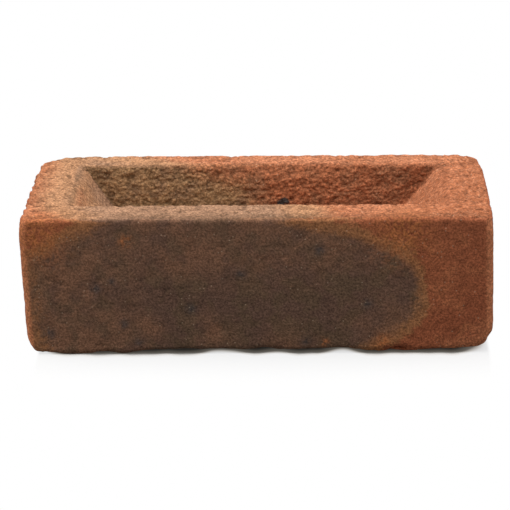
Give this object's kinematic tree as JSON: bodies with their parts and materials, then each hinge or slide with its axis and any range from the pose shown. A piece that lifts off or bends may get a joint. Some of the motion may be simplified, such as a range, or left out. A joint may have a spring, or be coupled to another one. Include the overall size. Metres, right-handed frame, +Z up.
{
  "type": "clay brick",
  "caption": "Fired-clay facing brick with rounded arrises and a sloping-walled frog in its upper bed, laid in mortar to build walls.",
  "frame": {"origin": "centre of the lower bed, where the brick rests", "axes": "+X along the stretcher faces, +Y from the front stretcher face to the back one, +Z up, out of the frog"},
  "size_m": [0.215, 0.1024, 0.065],
  "materials": {
    "fired_clay": "matte"
  },
  "bodies": {
    "root": {"brick": "fired_clay"}
  },
  "joints": []
}
